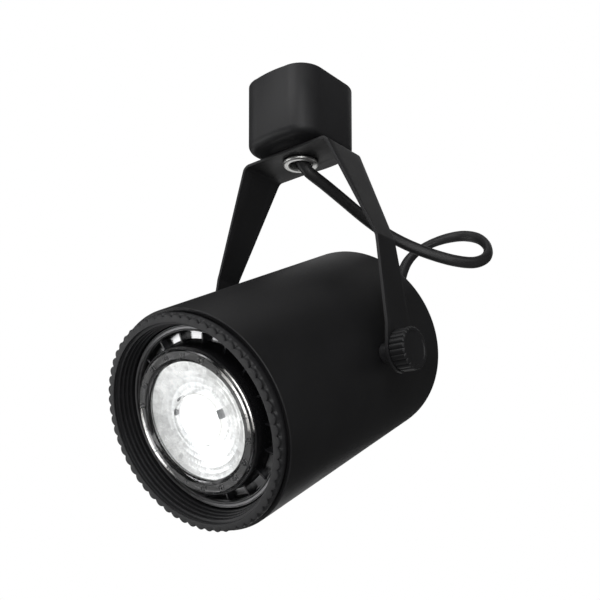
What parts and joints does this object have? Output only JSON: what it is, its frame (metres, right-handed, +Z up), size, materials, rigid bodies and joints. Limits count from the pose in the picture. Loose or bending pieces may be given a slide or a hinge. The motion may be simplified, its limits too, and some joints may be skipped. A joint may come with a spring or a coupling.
{
  "type": "track spotlight",
  "caption": "Black track spotlight: a cylindrical head in a bent yoke under a track adapter, which pans and tilts, with clamping knobs, a screw bezel and a screw-in reflector lamp.",
  "frame": {"origin": "centre of the adapter's top face, where it seats on the track, on the pan axis", "axes": "+Z up along the pan axis into the track, +X along the tilt axis to the right knob, -Y towards the front of the head; the head is stored tilted 26.5 degrees below the horizontal"},
  "size_m": [0.105, 0.1606, 0.192],
  "materials": {
    "black_paint": "satin black powder coat",
    "black_plastic": "satin black moulded plastic",
    "bezel_plastic": "satin black, moulded grip",
    "knob_plastic": "satin black, fluted",
    "black_rubber": "matt black rubber",
    "cord_sheath": "matt black cord sheath",
    "nickel": "satin nickel plate",
    "zinc_steel": "zinc-plated steel",
    "shell_brass": "bright brass",
    "contact_copper": "spring copper alloy",
    "white_ceramic": "glazed white ceramic",
    "grey_plastic": "grey moulded plastic",
    "nylon": "natural nylon",
    "black_aluminium": "black coated cast aluminium",
    "grey_rim": "grey satin metal",
    "clear_plastic": "clear moulded plastic",
    "smoky_plastic": "clear moulded plastic over black, which looks smoky",
    "reflector_mirror": "bright faceted reflector",
    "led_phosphor": "phosphor on a white board"
  },
  "bodies": {
    "adapter": {"adapter_housing": "black_plastic", "adapter_lid": "black_plastic", "lid_screw_1": "zinc_steel", "lid_screw_2": "zinc_steel", "contact_carrier": "grey_plastic", "contact_live": "contact_copper", "contact_neutral": "contact_copper", "contact_ground": "contact_copper", "terminal_block": "white_ceramic", "release_spring": "zinc_steel", "swivel_stem": "nickel", "stem_nut": "zinc_steel", "friction_washer": "nylon"},
    "latch": {"release_latch": "grey_plastic"},
    "yoke": {"yoke_bracket": "black_paint", "cord": "cord_sheath"},
    "head": {"can_body": "black_paint", "cord_gland": "black_rubber", "gland_nut": "grey_plastic", "lampholder_bracket": "zinc_steel", "back_screw_1": "zinc_steel", "back_screw_2": "zinc_steel", "lampholder_body": "white_ceramic", "screw_shell": "shell_brass", "centre_contact": "shell_brass", "pivot_stud_left": "zinc_steel", "pivot_stud_right": "zinc_steel", "pivot_spacer_left": "black_plastic", "pivot_spacer_right": "black_plastic"},
    "left_knob": {"knob_left": "knob_plastic"},
    "right_knob": {"knob_right": "knob_plastic"},
    "bezel": {"bezel_ring": "bezel_plastic"},
    "lamp": {"lamp_heatsink": "black_aluminium", "lamp_rim": "grey_rim", "lamp_neck": "black_plastic", "lamp_screw_cap": "nickel", "cap_insulator": "black_plastic", "tip_contact": "shell_brass", "lens_ring": "smoky_plastic", "lamp_lens": "clear_plastic", "reflector": "reflector_mirror", "led_module": "led_phosphor"}
  },
  "joints": [
    {"name": "pan", "type": "hinge", "parent": "adapter", "child": "yoke", "pos_m": [0, 0, -0.0325], "axis": [0, 0, 1], "range_deg": [-175, 175]},
    {"name": "tilt", "type": "hinge", "parent": "yoke", "child": "head", "pos_m": [0, 0, -0.1216], "axis": [1, 0, 0], "range_deg": [-40, 63.5], "deforming": ["cord"]},
    {"name": "left_knob_turn", "type": "hinge", "parent": "head", "child": "left_knob", "pos_m": [-0.0465, 0, -0.1216], "axis": [-1, 0, 0], "range_deg": [0, 540]},
    {"name": "right_knob_turn", "type": "hinge", "parent": "head", "child": "right_knob", "pos_m": [0.0465, 0, -0.1216], "axis": [1, 0, 0], "range_deg": [0, 540]},
    {"name": "bezel_turn", "type": "hinge", "parent": "head", "child": "bezel", "pos_m": [0, 0, -0.1216], "axis": [0, -0.8949, -0.4462], "range_deg": [0, 540]},
    {"name": "lamp_turn", "type": "hinge", "parent": "head", "child": "lamp", "pos_m": [0, 0, -0.1216], "axis": [0, -0.8949, -0.4462], "range_deg": [0, 1080]},
    {"name": "latch_pull", "type": "slide", "parent": "adapter", "child": "latch", "axis": [0, 0, -1], "range_m": [0, 0.004], "stiffness_N_per_m": 400, "springref_m": -0.002, "deforming": ["release_spring"]}
  ]
}
